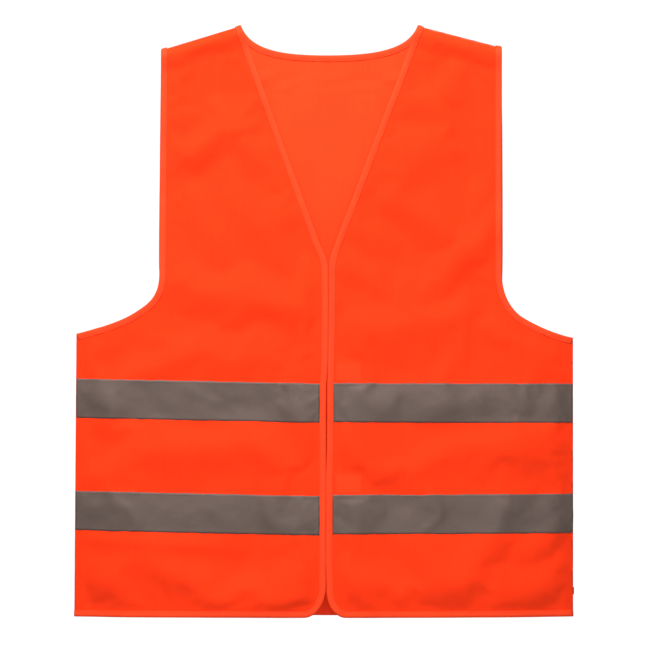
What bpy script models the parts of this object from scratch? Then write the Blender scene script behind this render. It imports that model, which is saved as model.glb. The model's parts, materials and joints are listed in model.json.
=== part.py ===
"""High visibility vest, unfastened, hanging from the shoulders: back, two fronts that open, tabs.

Metres, +Z up. The vest's front faces -Y, so the wearer's right is at -X. The origin is midway
between the two neck points, at the height where the shoulder seams start, and the hem is at -Z.

Every cloth piece is cut flat in the XZ plane at its own layer, creased along straight lines, and
then pushed out of that plane by depth(x, z), which gives the vest the shape of a shallow tent:
nothing at the shoulders and side seams, most at the hem. Each front folds open along the line
from its neck point to its hem.
"""

import math

import bmesh
import bpy
from mathutils import Matrix, Vector
from mathutils.geometry import interpolate_bezier

# Driving dimensions, metres.
LENGTH = 0.7557  # neck point to hem
FOLD_DEPTH = 0.028  # how far each fold line stands out at the hem
CENTRE_DEPTH = 0.036  # how far the front edges stand out at the hem
CENTRE_GAP = 0.0018  # between the two front edges
V_BOTTOM = 0.312  # neck point down to where the front edges come together

PANEL = 0.0008  # cloth
BINDING_WIDTH = 0.008
BINDING = 0.0022  # folded binding, over both of its sides
BINDING_WALL = 0.0004
SHOULDER_FOLD = 0.0018  # how far the armhole binding passes over the end of the shoulder seam
CLEARANCE = 0.0003
LAYER = 0.0014  # from the plane between front and back to the middle of either cloth
TAPE_WIDTH = 0.050
TAPE = 0.0005
FOLD_CLEARANCE = 0.0022  # from the fold line to each of the two pieces that it parts


PATCH = (0.033, 0.025, 0.0006)  # loop patch: along X, along Z, thick
PATCH_START = 0.0105  # from the middle of the vest
PATCH_RISE = 0.0012  # from the tape's top edge up to the patch
TAB_AXIS = 0.0012  # from the middle of the vest
TAB_AXIS_DEPTH = 0.0026  # behind the middle of the front's cloth
TAB_SLACK = 0.0010  # from the axis to the tab
TAB = (0.035, 0.025, 0.001)  # short enough to turn over inside the vest
TAB_BASE = (0.0285, 0.025, 0.001)
HOOK_PAD = (0.0215, 0.0225, 0.0008)

LABEL_TOP = 0.7180  # below the neck points
LABEL = (0.012, 0.0092, 0.0006)
LABEL_SHOWS = 0.0012  # past the side seam
SEAM_ALLOWANCE = 0.007

SIDES = {
    "right": dict(
        sign=-1, neck=0.1106, tip=(0.2129, -0.0310), underarm=(0.3215, -0.3940), hem=0.3240,
        fold_hem=0.2200, straight=(0.2150, -0.3200), elbow=(0.2420, -0.3640),
        elbow_pull=((0.2158, -0.3470), (0.2300, -0.3560)),
        sleeve_pull=((0.2620, -0.3780), (0.2900, -0.3860)), corner=(0.030, 0.041),
        upper_tape=(0.4576, 0.4513), lower_tape=(0.6010, 0.5948),
    ),
    "left": dict(
        sign=1, neck=0.1153, tip=(0.2231, -0.0278), underarm=(0.3143, -0.3990), hem=0.3143,
        fold_hem=0.2150, straight=(0.2231, -0.3180), elbow=(0.2480, -0.3720),
        elbow_pull=((0.2231, -0.3450), (0.2350, -0.3625)),
        sleeve_pull=((0.2640, -0.3820), (0.2900, -0.3945)), corner=(0.022, 0.034),
        upper_tape=(0.4566, 0.4577), lower_tape=(0.5992, 0.5985),
    ),
}

ORANGE = (1.0, 0.058, 0.012)
ORANGE_TRIM = (1.0, 0.080, 0.026)
SILVER = (0.18, 0.135, 0.115)
HOOK_ORANGE = (0.9, 0.07, 0.02)
DARK = (0.02, 0.02, 0.025)


def collection(name):
    """A new collection of the scene."""
    found = bpy.data.collections.new(name)
    bpy.context.scene.collection.children.link(found)
    return found


def material(name, colour, roughness, metallic=0.0):
    """A Principled material."""
    made = bpy.data.materials.new(name)
    made.use_nodes = True
    shader = made.node_tree.nodes["Principled BSDF"]
    shader.inputs["Base Color"].default_value = (*colour, 1.0)
    shader.inputs["Roughness"].default_value = roughness
    shader.inputs["Metallic"].default_value = metallic
    return made


# Where the cloth stands.


def plane_through(corners):
    """The depth, linear in x and z, that takes the given depth at each of three (x, z, depth)."""
    a, b, c = (Vector(corner) for corner in corners)
    normal = (b - a).cross(c - a)
    return lambda x, z: a.z - (normal.x * (x - a.x) + normal.y * (z - a.y)) / normal.z


def facets(side):
    """The three sloping facets of one front: its flap, its underarm and its lower side."""
    neck = (side["neck"], 0.0, 0.0)
    fold = (side["fold_hem"], -LENGTH, FOLD_DEPTH)
    underarm = (*side["underarm"], 0.0)
    flap = plane_through((neck, fold, (0.0, -LENGTH, CENTRE_DEPTH)))
    chest = plane_through((neck, fold, underarm))
    flank = plane_through((underarm, fold, (side["hem"], -LENGTH, 0.0)))
    return flap, chest, flank


def depth(x, z, front):
    """How far the cloth stands out of the XZ plane at (x, z)."""
    side = SIDES["right" if x < 0 else "left"]
    flap, chest, flank = facets(side)
    middle = flap(abs(x), z) if front else FOLD_DEPTH * -z / LENGTH
    return max(0.0, min(middle, chest(abs(x), z), flank(abs(x), z)))


def creases(side):
    """The lines, as pairs of (x, z), along which one side's cloth changes facet."""
    sign = side["sign"]
    neck = (sign * side["neck"], 0.0)
    fold = (sign * side["fold_hem"], -LENGTH)
    underarm = (sign * side["underarm"][0], side["underarm"][1])
    return (neck, fold), (neck, underarm), (underarm, fold)


def fold_line(side):
    return creases(side)[0]


# Outlines, as (x, z), with x measured from the middle and given its sign at the end.


def round_stretch(start, pulls, end, steps=8):
    """Points of a curve from start to end, without its last point."""
    ends = [Vector(point).to_3d() for point in (start, *pulls, end)]
    return [(p.x, p.y) for p in interpolate_bezier(*ends, steps + 1)[:-1]]


def armhole(side):
    """The armhole's edge, from the shoulder tip down to the underarm."""
    tip, straight, elbow = side["tip"], side["straight"], side["elbow"]
    points = [tip]
    points += round_stretch(straight, side["elbow_pull"], elbow)
    points += round_stretch(elbow, side["sleeve_pull"], side["underarm"])
    return [*points, side["underarm"]]


def front_edge(side):
    """From the neck point down the V, the straight front edge and the round corner to the fold."""
    edge = CENTRE_GAP / 2
    bottom, turn = -LENGTH, (0.0120, -0.2730)
    across, up = side["corner"]
    points = [(side["neck"], 0.0)]
    points += round_stretch(turn, ((0.0060, -0.2895), (edge, -0.2980)), (edge, -V_BOTTOM), 6)
    points += [(edge, -V_BOTTOM)]
    pulls = ((edge, bottom + up * 0.45), (edge + across * 0.45, bottom))
    points += round_stretch((edge, bottom + up), pulls, (edge + across, bottom))
    return [*points, (edge + across, bottom)]


def neckline(side):
    """Half of the back neckline, from the neck point to the middle."""
    pulls = ((side["neck"] - 0.012, -0.030), (0.0620, -0.0375))
    return [*round_stretch((side["neck"], 0.0), pulls, (0.0, -0.0375), 12), (0.0, -0.0375)]


def signed(side, points):
    return [(side["sign"] * x, z) for x, z in points]


def inset(points, distance):
    """The same stretch of edge, moved to the right of its direction of travel."""
    moved = []
    for index, point in enumerate(points):
        before = Vector(points[max(index - 1, 0)])
        after = Vector(points[min(index + 1, len(points) - 1)])
        along = (after - before).normalized()
        moved.append((point[0] + along.y * distance, point[1] - along.x * distance))
    return moved


# From an outline to a solid.


def mesh_from_curve(name, curve):
    """The mesh of a 2D curve drawn in XZ, with its caps welded. Local Z becomes -Y."""
    helper = bpy.data.objects.new(name, curve)
    bpy.context.scene.collection.objects.link(helper)
    graph = bpy.context.evaluated_depsgraph_get()
    mesh = bpy.data.meshes.new_from_object(helper.evaluated_get(graph))
    bpy.data.objects.remove(helper)
    shape = bmesh.new()
    shape.from_mesh(mesh)
    bpy.data.meshes.remove(mesh)
    bmesh.ops.remove_doubles(shape, verts=shape.verts, dist=1e-6)
    bmesh.ops.rotate(shape, verts=shape.verts, matrix=Matrix.Rotation(math.pi / 2, 3, "X"))
    bmesh.ops.recalc_face_normals(shape, faces=shape.faces)
    return shape


def plate(name, outline, thickness):
    """A flat piece with this (x, z) outline, in the middle of the XZ plane."""
    curve = bpy.data.curves.new(name, "CURVE")
    curve.dimensions, curve.fill_mode, curve.extrude = "2D", "BOTH", thickness / 2
    add_spline(curve, outline, cyclic=True)
    return mesh_from_curve(name, curve)


def add_spline(curve, points, cyclic):
    spline = curve.splines.new("POLY")
    spline.points.add(len(points) - 1)
    for place, (x, z) in zip(spline.points, points):
        place.co = (x, z, 0.0, 1.0)
    spline.use_cyclic_u = cyclic


def folded_profile():
    """The binding's section: folded over an edge, open towards the cloth."""
    width, half, wall = BINDING_WIDTH, BINDING / 2, BINDING_WALL
    section = [
        (0, -half), (-width, -half), (-width, wall - half), (-wall, wall - half),
        (-wall, half - wall), (-width, half - wall), (-width, half), (0, half),
    ]
    curve = bpy.data.curves.new("binding_section", "CURVE")
    curve.dimensions = "2D"
    add_spline(curve, section, cyclic=True)
    holder = bpy.data.objects.new("binding_section", curve)
    holder.hide_render, holder.display_type = True, "WIRE"
    CUTTERS.objects.link(holder)
    return holder


def binding(name, edge):
    """A folded strip along an edge, with the cloth on the left of its direction of travel."""
    curve = bpy.data.curves.new(name, "CURVE")
    curve.dimensions, curve.fill_mode = "2D", "NONE"
    curve.bevel_mode, curve.bevel_object, curve.use_fill_caps = "OBJECT", PROFILE, True
    add_spline(curve, edge, cyclic=False)
    return mesh_from_curve(name, curve)


def cut(shape, line, keep=None, clearance=0.0):
    """Cuts a shape along a line, and with keep, a point, leaves only the part on its side."""
    start, end = (Vector((x, 0.0, z)) for x, z in line)
    normal = (end - start).cross(Vector((0.0, 1.0, 0.0))).normalized()
    if keep is not None and (Vector((keep[0], 0.0, keep[1])) - start).dot(normal) > 0:
        normal.negate()
    everything = [*shape.verts, *shape.edges, *shape.faces]
    found = bmesh.ops.bisect_plane(
        shape, geom=everything, dist=1e-7, plane_co=start - normal * clearance,
        plane_no=normal, clear_outer=keep is not None,
    )
    if keep is not None:
        rim = [item for item in found["geom_cut"] if isinstance(item, bmesh.types.BMEdge)]
        bmesh.ops.holes_fill(shape, edges=rim, sides=0)


def stand(shape, layer, front=True, sides=("right", "left")):
    """Creases a flat piece, moves it to its layer and pushes it out to its depth."""
    for side in sides:
        for line in creases(SIDES[side]):
            cut(shape, line)
    bmesh.ops.triangulate(shape, faces=shape.faces)
    outwards = -1.0 if front else 1.0
    for vert in shape.verts:
        vert.co.y += outwards * (layer + depth(vert.co.x, vert.co.z, front))


def finish(name, shape, finish_of, home=None, parent=None):
    """Makes the named object of a shape that is already in its place."""
    bmesh.ops.recalc_face_normals(shape, faces=shape.faces)
    mesh = bpy.data.meshes.new(name)
    shape.to_mesh(mesh)
    shape.free()
    made = bpy.data.objects.new(name, mesh)
    made.data.materials.append(finish_of)
    (home or VEST).objects.link(made)
    if parent is not None:
        mesh.transform(parent.matrix_world.inverted())
        made.parent = parent
    return made


def pivot(name, place, parent=None):
    """An empty on a joint's axis."""
    made = bpy.data.objects.new(name, None)
    made.empty_display_size = 0.02
    VEST.objects.link(made)
    made.parent = parent
    made.matrix_world = Matrix.Translation(place)
    bpy.context.view_layer.update()
    return made


# The pieces.


def build_back():
    """The back, in one piece, with its neck and hem bindings and its two tapes."""
    right, left = SIDES["right"], SIDES["left"]
    neck = signed(right, neckline(right)) + signed(left, neckline(left))[-2::-1]
    hem = [(left["hem"], -LENGTH), (-right["hem"], -LENGTH)]
    outline = inset(neck, HIDDEN_EDGE) + inset(signed(left, armhole(left)), HIDDEN_EDGE)
    outline += inset(hem, HIDDEN_EDGE) + inset(signed(right, armhole(right))[::-1], HIDDEN_EDGE)
    shape = plate("back_panel", outline, PANEL)
    stand(shape, LAYER, front=False)
    finish("back_panel", shape, FABRIC)

    for name, edge in (("neck_binding", neck), ("back_hem_binding", hem)):
        shape = binding(name, edge[::-1])
        stand(shape, LAYER, front=False)
        finish(name, shape, TRIM)

    for level in ("upper", "lower"):
        ends = [tape_end(side, level, side_edge(side, side[f"{level}_tape"][1])) for side in (right, left)]
        shape = plate(level, tape_outline(*ends), TAPE)
        stand(shape, TAPE_LAYER, front=False)
        finish(f"back_{level}_tape", shape, REFLECTIVE)


def side_edge(side, down):
    """How far the side seam is from the middle at this height, less some room beside it."""
    top, bottom = side["underarm"], (side["hem"], -LENGTH)
    share = (-down - top[1]) / (bottom[1] - top[1])
    return top[0] + (bottom[0] - top[0]) * share - 2 * CLEARANCE


def tape_end(side, level, x):
    """The (x, z) of a tape's top edge on one side, at a distance x from the middle."""
    at_middle, at_seam = side[f"{level}_tape"]
    share = x / side_edge(side, at_seam)
    return side["sign"] * x, -at_middle - (at_seam - at_middle) * share


def tape_outline(start, end):
    """A tape whose top edge runs between two points."""
    return [start, end, (end[0], end[1] - TAPE_WIDTH), (start[0], start[1] - TAPE_WIDTH)]


def front_outline(side):
    """The outline of one whole front, in its binding's slot at the V, front edge and hem."""
    edge = [*front_edge(side), (side["hem"], -LENGTH)]
    outline = inset(edge, -HIDDEN_EDGE) + inset(armhole(side)[::-1], -HIDDEN_EDGE)
    return signed(side, outline)


def build_front(name, flap):
    """One front: its side part stays with the back, and its flap turns on the fold line."""
    side = SIDES[name]
    middle, outside = (0.0, -LENGTH), (side["sign"] * 0.5, -LENGTH)

    def part(label, shape, layer, keep, finish_of):
        cut(shape, fold_line(side), keep, FOLD_CLEARANCE)
        stand(shape, layer, sides=[name])
        finish(f"{name}_{label}", shape, finish_of, parent=flap if keep == middle else None)

    outline = front_outline(side)
    part("side_front_panel", plate("panel", outline, PANEL), LAYER, outside, FABRIC)
    part("front_panel", plate("panel", outline, PANEL), LAYER, middle, FABRIC)

    beside_fold = [(side["fold_hem"] + reach, -LENGTH) for reach in (BINDING_WIDTH, -BINDING_WIDTH)]
    around = signed(side, [*front_edge(side), beside_fold[0]])
    along_hem = signed(side, [beside_fold[1], (side["hem"], -LENGTH)])
    for label, path, keep in (("front_binding", around, middle), ("side_hem_binding", along_hem, outside)):
        shape = binding("strip", path if side["sign"] > 0 else path[::-1])
        part(label, shape, LAYER, keep, TRIM)

    inner = CENTRE_GAP / 2 + BINDING_WIDTH + CLEARANCE
    for level in ("upper", "lower"):
        outer = side_edge(side, side[f"{level}_tape"][1])
        outline = tape_outline(tape_end(side, level, inner), tape_end(side, level, outer))
        for label, keep in (("side_tape", outside), ("front_tape", middle)):
            part(f"{level}_{label}", plate("tape", outline, TAPE), TAPE_LAYER, keep, REFLECTIVE)


def build_armhole_binding(name):
    """One strip round an armhole: down the front and the back, joined over the shoulder tip."""
    side = SIDES[name]
    edge = armhole(side)
    past_tip = (edge[0][0], edge[0][1] + BINDING_WIDTH)
    path = signed(side, [past_tip, *edge[1:]])
    shoulder = signed(side, [(side["neck"], 0.0), side["tip"]])
    halves = []
    for front in (True, False):
        shape = binding("strip", path[::-1] if side["sign"] > 0 else path)
        cut(shape, shoulder, path[-1], -SHOULDER_FOLD)
        stand(shape, LAYER, front=front, sides=[name])
        halves.append(shape)

    along = (Vector(shoulder[1]) - Vector(shoulder[0])).normalized()
    upwards = Vector((0.0, 1.0)) - along * along.y
    tip = Vector(shoulder[1])
    low, high = upwards * CLEARANCE * 1.5, upwards * SHOULDER_FOLD * 0.95
    ends = (tip - along * BINDING_WALL, tip - along * BINDING_WIDTH * 0.9)
    outline = [ends[0] + low, ends[1] + low, ends[1] + high, ends[0] + high]
    bridge = plate("bridge", [tuple(point) for point in outline], 2 * LAYER + BINDING_WALL)
    whole = finish(f"{name}_armhole_binding", halves[0], TRIM)
    for label, shape in (("back", halves[1]), ("bridge", bridge)):
        helper = finish(f"{name}_armhole_{label}", shape, TRIM, home=CUTTERS)
        helper.hide_render, helper.display_type = True, "WIRE"
        join = whole.modifiers.new(label, "BOOLEAN")
        join.operation, join.object = "UNION", helper


def build_seams(name):
    """The seam allowances that join front and back, turned inside the vest."""
    side = SIDES[name]
    thick = 2 * LAYER - PANEL - 2 * CLEARANCE
    neck, tip = Vector((side["neck"], 0.0)), Vector(side["tip"])
    room = (tip - neck).normalized() * (BINDING_WIDTH + 3 * CLEARANCE)
    down = Vector((0.0, SEAM_ALLOWANCE))
    outline = [neck + room, tip - room, tip - room - down, neck + room - down]
    shape = plate("seam", signed(side, [tuple(point) for point in outline]), thick)
    finish(f"{name}_shoulder_seam", shape, TRIM)

    top = side["underarm"][1] - BINDING_WIDTH - SHOULDER_FOLD
    bottom = -LABEL_TOP + CLEARANCE if name == "left" else -LENGTH + BINDING_WIDTH + SHOULDER_FOLD
    high, low = side_edge(side, -top), side_edge(side, -bottom)
    outline = [(high, top), (low, bottom), (low - SEAM_ALLOWANCE, bottom), (high - SEAM_ALLOWANCE, top)]
    shape = plate("seam", signed(side, outline), thick)
    finish(f"{name}_side_seam", shape, TRIM)


def build_label():
    """A small woven label caught in the left side seam, its folded edge just showing."""
    low = SIDES["left"]["hem"] + LABEL_SHOWS - LABEL[0]
    finish("seam_label", plate("label", rectangle(low, -LABEL_TOP, LABEL), LABEL[2]), LABEL_CLOTH)


def rectangle(low_x, top, size):
    across, tall = size[:2]
    return [(low_x, top), (low_x + across, top), (low_x + across, top - tall), (low_x, top - tall)]


def build_closure(level, right_flap, left_flap):
    """A loop patch inside the left front, and a tab with hooks sewn inside the right front."""
    top = PATCH_RISE + PATCH[1] - SIDES["left"][f"{level}_tape"][0]

    shape = plate("patch", rectangle(PATCH_START, top, PATCH), PATCH[2])
    stand(shape, LAYER - (PANEL + PATCH[2]) / 2 - CLEARANCE, sides=["left"])
    finish(f"{level}_loop_patch", shape, LOOP, parent=left_flap)

    start = -TAB_AXIS - CLEARANCE - TAB_BASE[0]
    shape = plate("base", rectangle(start, top, TAB_BASE), TAB_BASE[2])
    stand(shape, LAYER - (BINDING + TAB_BASE[2]) / 2 - CLEARANCE, sides=["right"])
    finish(f"{level}_tab_base", shape, TRIM, parent=right_flap)

    axis_layer = LAYER - TAB_AXIS_DEPTH
    middle = (-TAB_AXIS, top - TAB[1] / 2)
    place = (middle[0], -axis_layer - depth(*middle, True), middle[1])
    axis = pivot(f"{level}_tab_pivot", place, right_flap)
    end = -TAB_AXIS - TAB_SLACK - TAB[0]
    shape = plate("tab", rectangle(end, top, TAB), TAB[2])
    tab_layer = axis_layer - CLEARANCE - TAB[2] / 2
    stand(shape, tab_layer, sides=["right"])
    finish(f"{level}_hook_tab", shape, TRIM, parent=axis)

    margin = (TAB[1] - HOOK_PAD[1]) / 2
    shape = plate("pad", rectangle(end + margin, top - margin, HOOK_PAD), HOOK_PAD[2])
    stand(shape, tab_layer - (TAB[2] + HOOK_PAD[2]) / 2 - CLEARANCE, sides=["right"])
    finish(f"{level}_hook_pad", shape, HOOK, parent=axis)


def flap_pivot(name):
    """The empty at the neck end of a front's fold line, in front of every layer of the front."""
    side = SIDES[name]
    axis_layer = LAYER + BINDING / 2 + CLEARANCE
    return pivot(f"{name}_front_pivot", (side["sign"] * side["neck"], -axis_layer, 0.0))


for old in list(bpy.data.objects):
    bpy.data.objects.remove(old)

HIDDEN_EDGE = BINDING_WALL + CLEARANCE  # how far cloth stops short of its binding's edge
TAPE_LAYER = LAYER + (PANEL + TAPE) / 2 + CLEARANCE

VEST = collection("high_visibility_vest")
CUTTERS = collection("cutters")
FABRIC = material("fluorescent_fabric", ORANGE, 0.8)
TRIM = material("binding", ORANGE_TRIM, 0.75)
REFLECTIVE = material("reflective_tape", SILVER, 0.55)
LOOP = material("loop_pile", ORANGE_TRIM, 0.95)
HOOK = material("hooks", HOOK_ORANGE, 0.6)
LABEL_CLOTH = material("label", DARK, 0.7)
PROFILE = folded_profile()

right_flap_pivot, left_flap_pivot = flap_pivot("right"), flap_pivot("left")
build_back()
build_front("right", right_flap_pivot)
build_front("left", left_flap_pivot)
for side_name in SIDES:
    build_armhole_binding(side_name)
    build_seams(side_name)
build_label()
for tape_level in ("upper", "lower"):
    build_closure(tape_level, right_flap_pivot, left_flap_pivot)
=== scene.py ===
import json
import math

import bmesh
import bpy
from mathutils import Matrix, Vector, noise
from mathutils.bvhtree import BVHTree
from mathutils.geometry import barycentric_transform, interpolate_bezier, intersect_point_line


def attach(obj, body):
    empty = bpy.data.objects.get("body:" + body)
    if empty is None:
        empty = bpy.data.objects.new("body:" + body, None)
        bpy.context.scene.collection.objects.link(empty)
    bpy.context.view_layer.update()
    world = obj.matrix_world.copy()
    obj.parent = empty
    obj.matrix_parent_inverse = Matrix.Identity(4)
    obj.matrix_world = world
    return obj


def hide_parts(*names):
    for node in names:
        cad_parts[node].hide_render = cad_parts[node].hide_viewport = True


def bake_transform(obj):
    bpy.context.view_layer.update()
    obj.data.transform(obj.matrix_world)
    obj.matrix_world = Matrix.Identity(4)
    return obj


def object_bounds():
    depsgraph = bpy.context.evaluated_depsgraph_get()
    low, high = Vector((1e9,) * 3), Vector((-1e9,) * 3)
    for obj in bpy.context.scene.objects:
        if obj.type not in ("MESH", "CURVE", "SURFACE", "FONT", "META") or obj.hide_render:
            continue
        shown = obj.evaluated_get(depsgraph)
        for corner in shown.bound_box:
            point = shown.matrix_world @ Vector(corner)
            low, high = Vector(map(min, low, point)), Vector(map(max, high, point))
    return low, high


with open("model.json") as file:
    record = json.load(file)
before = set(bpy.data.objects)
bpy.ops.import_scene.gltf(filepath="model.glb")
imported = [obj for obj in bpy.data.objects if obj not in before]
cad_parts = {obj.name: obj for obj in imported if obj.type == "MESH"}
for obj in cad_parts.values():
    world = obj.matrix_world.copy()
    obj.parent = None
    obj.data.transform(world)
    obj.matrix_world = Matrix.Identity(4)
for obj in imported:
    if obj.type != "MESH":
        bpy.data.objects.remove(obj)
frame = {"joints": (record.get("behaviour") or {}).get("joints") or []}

cad_low, cad_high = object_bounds()

# The back. One panel of fluorescent warp-knit polyester, cut flat with a shallow neckline and two
# armholes. It is sewn to the fronts at the shoulders and the sides, and stands away from them
# towards the hem.

LENGTH = 0.7557  # neck point to hem
FOLD_DEPTH = 0.028  # how far the cloth stands out at the hem, at each front's fold line
CENTRE_DEPTH = 0.036  # the same at the front edges
LAYER = 0.0014  # from the plane between front and back to the middle of either cloth
SEAM_LAYER = 0.00025  # the same where the two are sewn together
SEAM_ROLL = 0.009  # how far from a seam the cloth starts to turn in to it
CLOTH = 0.0005
HIDDEN_EDGE = 0.0007  # how far cloth stops short of its binding's edge
ROUNDING = 0.009  # depth over which one slope of the cloth passes into the next
NECK_LOW = 0.0375  # from the neck points down to the middle of the back neckline
BACK_MESH = 0.006
MERGED = 0.22  # points of a mesh nearer than this share of its spacing become one

# Distances from the middle, or an (x, z) measured from it. A corner has its reach along the hem and
# up the front edge, and a tape the drop of its top border at the middle and at the side seam.
SIDES = {
    "right": dict(
        sign=-1, neck=0.1106, tip=(0.2129, -0.0310), underarm=(0.3215, -0.3940), hem=0.3240,
        fold_hem=0.2200, straight=(0.2150, -0.3200), elbow=(0.2420, -0.3640),
        elbow_pull=((0.2158, -0.3470), (0.2300, -0.3560)),
        sleeve_pull=((0.2620, -0.3780), (0.2900, -0.3860)), corner=(0.0309, 0.041),
        upper_tape=(0.4576, 0.4513), lower_tape=(0.6010, 0.5948),
    ),
    "left": dict(
        sign=1, neck=0.1153, tip=(0.2231, -0.0278), underarm=(0.3143, -0.3990), hem=0.3143,
        fold_hem=0.2150, straight=(0.2231, -0.3180), elbow=(0.2480, -0.3720),
        elbow_pull=((0.2231, -0.3450), (0.2350, -0.3625)),
        sleeve_pull=((0.2640, -0.3820), (0.2900, -0.3945)), corner=(0.0229, 0.034),
        upper_tape=(0.4566, 0.4577), lower_tape=(0.5992, 0.5985),
    ),
}


def side_at(x):
    return SIDES["right" if x < 0 else "left"]


def round_stretch(start, pulls, end, steps=16):
    """Points of a curve from start to end, without its last point."""
    ends = [Vector(point).to_3d() for point in (start, *pulls, end)]
    return [(p.x, p.y) for p in interpolate_bezier(*ends, steps + 1)[:-1]]


def armhole(side):
    """The armhole's edge, from the shoulder tip down to the underarm."""
    tip, straight, elbow = side["tip"], side["straight"], side["elbow"]
    points = [tip]
    points += round_stretch(straight, side["elbow_pull"], elbow)
    points += round_stretch(elbow, side["sleeve_pull"], side["underarm"])
    return [*points, side["underarm"]]


def neckline(side):
    """Half of the back neckline, from the neck point to the middle."""
    pulls = ((side["neck"] - 0.012, -0.030), (0.0620, -NECK_LOW))
    return [*round_stretch((side["neck"], 0.0), pulls, (0.0, -NECK_LOW)), (0.0, -NECK_LOW)]


def signed(side, points):
    return [(side["sign"] * x, z) for x, z in points]


def inset(points, distance):
    """The same stretch of edge, moved to the right of its direction of travel."""
    moved = []
    for index, point in enumerate(points):
        before = Vector(points[max(index - 1, 0)])
        after = Vector(points[min(index + 1, len(points) - 1)])
        along = (after - before).normalized()
        moved.append((point[0] + along.y * distance, point[1] - along.x * distance))
    return moved


def plane_through(corners):
    """The depth, linear in x and z, that takes the given depth at each of three (x, z, depth)."""
    a, b, c = (Vector(corner) for corner in corners)
    normal = (b - a).cross(c - a)
    return lambda x, z: a.z - (normal.x * (x - a.x) + normal.y * (z - a.y)) / normal.z


for side in SIDES.values():
    neck = (side["neck"], 0.0, 0.0)
    fold = (side["fold_hem"], -LENGTH, FOLD_DEPTH)
    underarm = (*side["underarm"], 0.0)
    side["slopes"] = (
        plane_through((neck, fold, (0.0, -LENGTH, CENTRE_DEPTH))),
        plane_through((neck, fold, underarm)),
        plane_through((underarm, fold, (side["hem"], -LENGTH, 0.0))),
    )


def lower_of(a, b):
    """The lower of two depths, with a rounded crease where they meet."""
    mix = max(ROUNDING - abs(a - b), 0.0) / ROUNDING
    return min(a, b) - mix * mix * ROUNDING / 4


def depth(x, z, front):
    """How far the cloth stands out, at (x, z), from the plane of the shoulders."""
    flap, chest, flank = side_at(x)["slopes"]
    middle = flap(abs(x), z) if front else FOLD_DEPTH * -z / LENGTH
    return max(0.0, lower_of(lower_of(middle, chest(abs(x), z)), flank(abs(x), z)))


def eased(share):
    """A share from 0 to 1 with a soft start and end."""
    share = min(max(share, 0.0), 1.0)
    return share * share * (3 - 2 * share)


def distance_to(point, start, end):
    """From a point to the nearest point of a straight line between two others."""
    nearest, share = intersect_point_line(point, start, end)
    return (point - (start if share < 0 else end if share > 1 else nearest)).length


def shoulder_distance(x, z):
    """From (x, z) to the shoulder seam on its side."""
    side = side_at(x)
    neck, tip = Vector((side["neck"], 0.0, 0.0)), Vector((*side["tip"], 0.0))
    return distance_to(Vector((abs(x), z, 0.0)), neck, tip)


def seam_distance(x, z):
    """From (x, z) to the nearest seam that joins the back to a front."""
    side = side_at(x)
    underarm, hem = Vector((*side["underarm"], 0.0)), Vector((side["hem"], -LENGTH, 0.0))
    return min(shoulder_distance(x, z), distance_to(Vector((abs(x), z, 0.0)), underarm, hem))


def layer(x, z):
    return SEAM_LAYER + (LAYER - SEAM_LAYER) * eased(seam_distance(x, z) / SEAM_ROLL)


def swell(x, z, middle, reach, turn, height):
    """A soft rise of the cloth, or with a negative height a hollow, longer along its turned axis."""
    away = Vector((x, z)) - Vector(middle)
    away.rotate(Matrix.Rotation(-math.radians(turn), 2))
    return height * math.exp(-0.5 * ((away.x / reach[0]) ** 2 + (away.y / reach[1]) ** 2))


def ripple(x, z, size, seed):
    """Uneven waves of about this size, from -1 to 1."""
    return noise.noise(Vector((x / size, z / size, seed)))


def cut_cloth(outline, spacing, grain, start):
    """A flat panel of this (x, z) outline, cut into small squares with two sides along the grain."""
    shape = bmesh.new()
    shape.faces.new([shape.verts.new((x, 0.0, z)) for x, z in outline])
    for across in (Vector((grain.z, 0.0, -grain.x)), Vector((0.0, 0.0, 1.0))):
        reaches = [(vert.co - start).dot(across) / spacing for vert in shape.verts]
        for step in range(math.ceil(min(reaches)), math.floor(max(reaches)) + 1):
            bmesh.ops.bisect_plane(
                shape, geom=[*shape.verts, *shape.edges, *shape.faces], dist=1e-6,
                plane_co=start + across * step * spacing, plane_no=across,
            )
    bmesh.ops.remove_doubles(shape, verts=shape.verts, dist=spacing * MERGED)
    return shape


def face_towards(shape, direction):
    """Turns every face of a sheet so that it faces this way."""
    for face in shape.faces:
        if face.normal.dot(direction) < 0:
            face.normal_flip()


def piece(name, shape, *finishes):
    """The named object of a finished shape, smooth, with its materials."""
    mesh = bpy.data.meshes.new(name)
    shape.to_mesh(mesh)
    shape.free()
    mesh.shade_smooth()
    for finish in finishes:
        mesh.materials.append(finish)
    made = bpy.data.objects.new(name, mesh)
    bpy.context.scene.collection.objects.link(made)
    return made


SETTLE_FRAMES = 24
SETTLE_MOST = 0.0045  # the furthest that a point may move while the cloth settles
SLACK = 0.006  # how much longer the knit has grown than its stitched edges
LEAST_LAYER = 0.75  # how near the settled cloth may come to the plane between, in layers


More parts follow.
